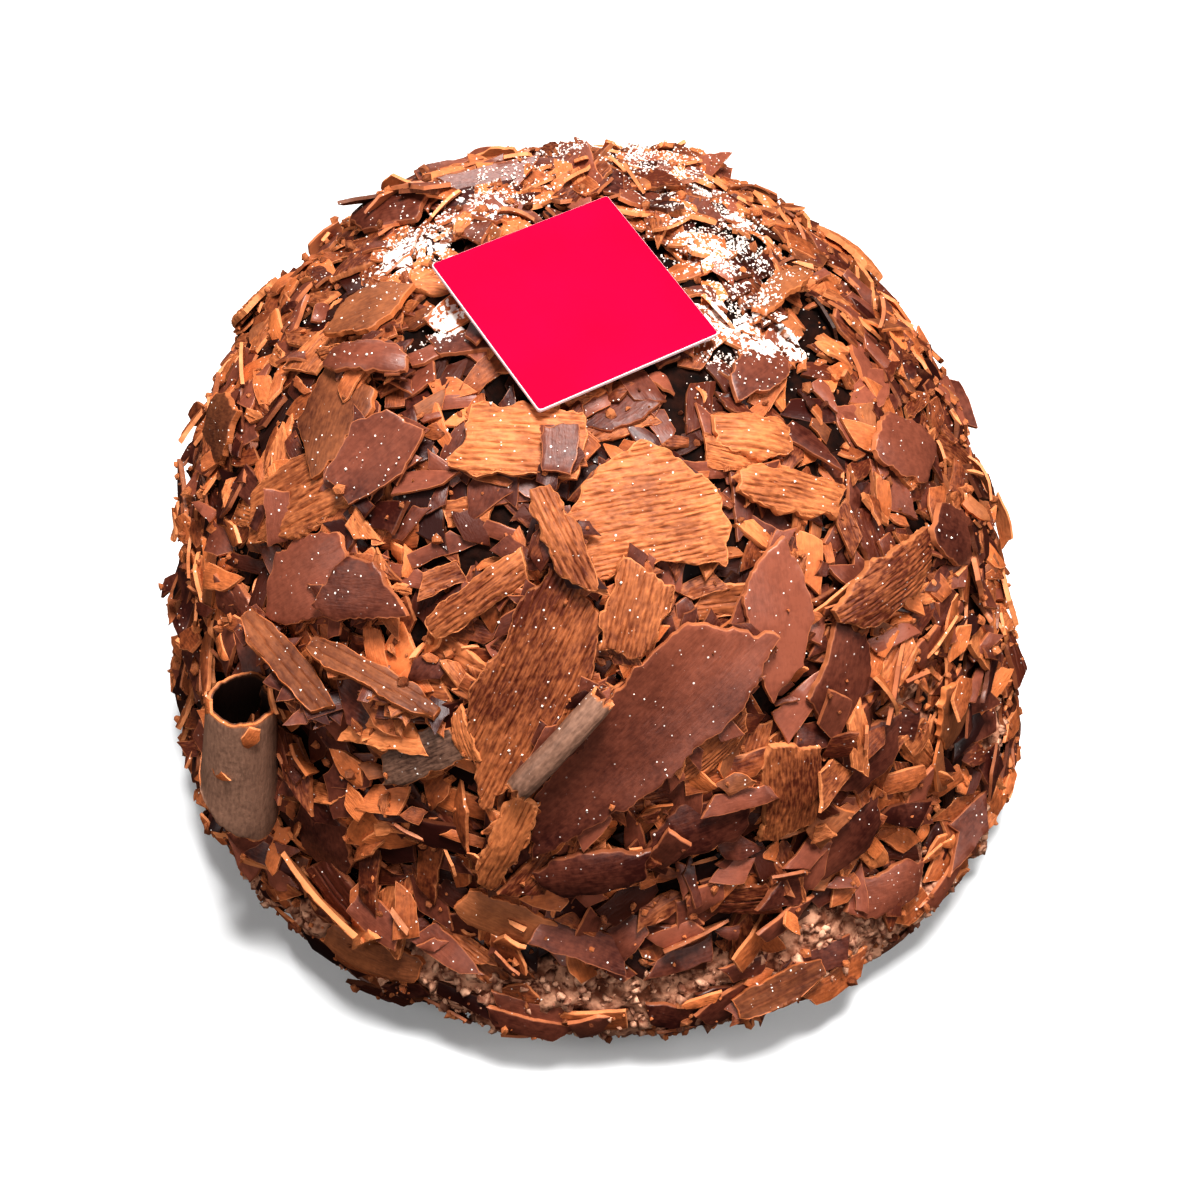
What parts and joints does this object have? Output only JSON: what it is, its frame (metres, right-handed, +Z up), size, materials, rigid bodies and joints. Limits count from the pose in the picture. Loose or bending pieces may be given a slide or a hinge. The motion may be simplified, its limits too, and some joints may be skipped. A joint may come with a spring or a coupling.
{
  "type": "merveilleux cake",
  "caption": "Tall domed meringue and cream cake covered in chocolate shavings, with one rolled curl, icing sugar and a plain square card on its crown.",
  "frame": {"origin": "middle of the cake's flat underside, in the plane it stands on", "axes": "+Z up, -Y towards the front, where the curl stands on the left and the broad dark shaving in the middle"},
  "size_m": [0.1661, 0.1634, 0.1205],
  "materials": {
    "coat": "loose crumbs and small shavings of milk chocolate over a pale cocoa cream that shows at the foot, dusted with icing sugar at the crown",
    "shaving_smooth": "satin dark chocolate with fine drawn lines and orange-brown broken edges",
    "shaving_grooved": "matt scraped milk chocolate, grooved along its length",
    "shaving_pale": "matt greyish milk chocolate with fine drawn lines",
    "card": "smooth coated card, bare magenta face with a pale cut edge"
  },
  "bodies": {
    "root": {"cake_body": "coat", "card": "card", "shaving_back_01": "shaving_smooth", "shaving_back_02": "shaving_grooved", "shaving_back_03": "shaving_smooth", "shaving_back_04": "shaving_pale", "shaving_back_05": "shaving_smooth", "shaving_back_06": "shaving_grooved", "shaving_back_07": "shaving_smooth", "shaving_back_08": "shaving_pale", "shaving_back_09": "shaving_smooth", "shaving_back_10": "shaving_grooved", "shaving_bent_strip": "shaving_smooth", "shaving_broad_dark": "shaving_smooth", "shaving_broad_grooved": "shaving_grooved", "shaving_crown_back": "shaving_pale", "shaving_curl": "shaving_pale", "shaving_dark_far_right": "shaving_smooth", "shaving_dark_left": "shaving_smooth", "shaving_dark_low": "shaving_smooth", "shaving_dark_low_middle": "shaving_smooth", "shaving_edge_foot": "shaving_pale", "shaving_edge_strip_left": "shaving_pale", "shaving_edge_strip_middle": "shaving_pale", "shaving_fan": "shaving_grooved", "shaving_far_left": "shaving_pale", "shaving_foot_tan": "shaving_pale", "shaving_grey_wedge": "shaving_pale", "shaving_grooved_right": "shaving_grooved", "shaving_grooved_strip": "shaving_grooved", "shaving_mauve_left": "shaving_smooth", "shaving_mauve_right": "shaving_smooth", "shaving_milk_top_left": "shaving_pale", "shaving_oblong": "shaving_grooved", "shaving_oblong_chip": "shaving_smooth", "shaving_oval": "shaving_smooth", "shaving_oval_back": "shaving_pale", "shaving_purple_far_right": "shaving_smooth", "shaving_purple_low": "shaving_smooth", "shaving_purple_right": "shaving_smooth", "shaving_ragged_middle": "shaving_grooved", "shaving_ragged_right": "shaving_grooved", "shaving_red_left": "shaving_smooth", "shaving_red_plate": "shaving_smooth", "shaving_rimmed_low": "shaving_smooth", "shaving_slant_grooved": "shaving_grooved", "shaving_smooth_foot": "shaving_pale", "shaving_sugared_dark": "shaving_smooth", "shaving_tan_far_right": "shaving_pale", "shaving_tan_left": "shaving_pale", "shaving_tan_right": "shaving_grooved", "shaving_thick_grooved": "shaving_grooved", "shaving_thin_roll": "shaving_pale", "shaving_upper_strip": "shaving_pale", "shaving_upright_grooved": "shaving_grooved", "shaving_wavy_right": "shaving_grooved"}
  },
  "joints": []
}
